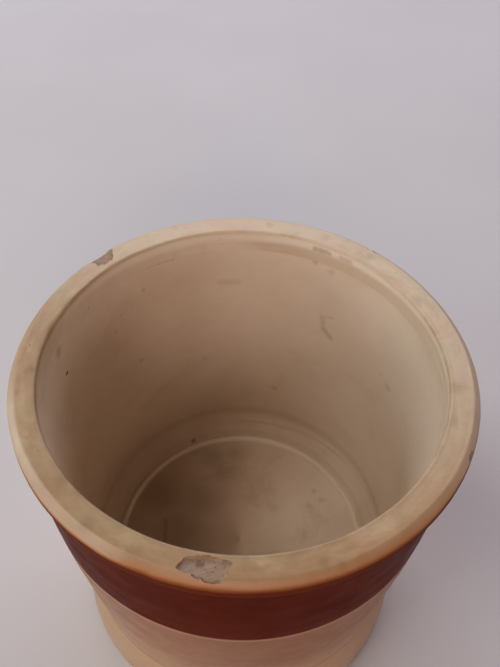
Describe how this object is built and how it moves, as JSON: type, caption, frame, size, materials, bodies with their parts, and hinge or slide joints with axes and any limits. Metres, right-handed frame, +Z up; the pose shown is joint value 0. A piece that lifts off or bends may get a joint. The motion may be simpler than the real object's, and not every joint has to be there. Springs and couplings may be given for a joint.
{
  "type": "fermentation crock",
  "caption": "Open stoneware crock with a rolled rim, a slightly tapering wall, a flared foot and a round, low-ridged floor, for fermenting vegetables or must under a separate lid or plate.",
  "frame": {"origin": "centre of the base, on the surface the foot ring stands on", "axes": "+Z up the crock's axis, out of the mouth; -Y faces the side with the large rim chip"},
  "size_m": [0.2, 0.2, 0.192],
  "materials": {
    "bare_stoneware": "matt, fine-grained",
    "cream_liner_glaze": "satin gloss, lightly stained",
    "buff_rim_glaze": "worn satin",
    "brown_glaze": "gloss",
    "cream_body_glaze": "gloss"
  },
  "bodies": {
    "root": {"stoneware_wall": "bare_stoneware", "stoneware_floor": "bare_stoneware", "stoneware_foot_ring": "bare_stoneware", "liner_glaze": "cream_liner_glaze", "rim_glaze": "buff_rim_glaze", "brown_band_glaze": "brown_glaze", "lower_body_glaze": "cream_body_glaze"}
  },
  "joints": []
}
